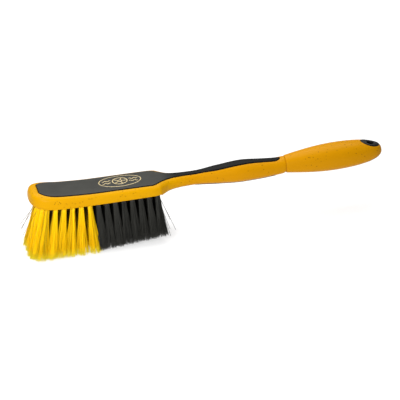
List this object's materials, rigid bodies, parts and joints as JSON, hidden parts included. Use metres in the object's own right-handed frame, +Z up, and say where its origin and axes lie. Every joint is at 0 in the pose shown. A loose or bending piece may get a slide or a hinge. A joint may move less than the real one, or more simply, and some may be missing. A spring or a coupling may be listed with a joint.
{
  "type": "wheel brush",
  "caption": "Long-handled car wash brush: a rectangular head of stapled yellow and black bristle tufts, a soft top panel, a necked handle and a grip with a hang hole.",
  "frame": {"origin": "bottom centre of the bounding box: the plane that the longest bristle tips touch, halfway along the brush, on its plane of symmetry", "axes": "+X from the toe of the head to the end of the handle, +Z up from the bristle tips to the head, Y across the brush; the XZ plane is the plane of symmetry"},
  "size_m": [0.4718, 0.0778, 0.0863],
  "materials": {
    "yellow_plastic": "moulded satin, faintly speckled",
    "grey_soft_rubber": "matte soft-touch",
    "black_plastic": "satin",
    "yellow_filament": "bundled fine filaments",
    "black_filament": "bundled fine filaments",
    "staple_wire": "flat wire"
  },
  "bodies": {
    "root": {"head_and_neck": "yellow_plastic", "rear_grip": "yellow_plastic", "top_soft_panel": "grey_soft_rubber", "neck_under_strip": "grey_soft_rubber", "hang_eyelet": "black_plastic", "yellow_tufts_01": "yellow_filament", "yellow_tufts_02": "yellow_filament", "yellow_tufts_03": "yellow_filament", "yellow_tufts_04": "yellow_filament", "yellow_tufts_05": "yellow_filament", "yellow_tufts_06": "yellow_filament", "yellow_tufts_07": "yellow_filament", "black_tufts_08": "black_filament", "black_tufts_09": "black_filament", "black_tufts_10": "black_filament", "black_tufts_11": "black_filament", "black_tufts_12": "black_filament", "black_tufts_13": "black_filament", "black_tufts_14": "black_filament", "black_tufts_15": "black_filament", "anchor_staples_01": "staple_wire", "anchor_staples_02": "staple_wire", "anchor_staples_03": "staple_wire", "anchor_staples_04": "staple_wire", "anchor_staples_05": "staple_wire", "anchor_staples_06": "staple_wire", "anchor_staples_07": "staple_wire", "anchor_staples_08": "staple_wire", "anchor_staples_09": "staple_wire", "anchor_staples_10": "staple_wire", "anchor_staples_11": "staple_wire", "anchor_staples_12": "staple_wire", "anchor_staples_13": "staple_wire", "anchor_staples_14": "staple_wire", "anchor_staples_15": "staple_wire"}
  },
  "joints": []
}
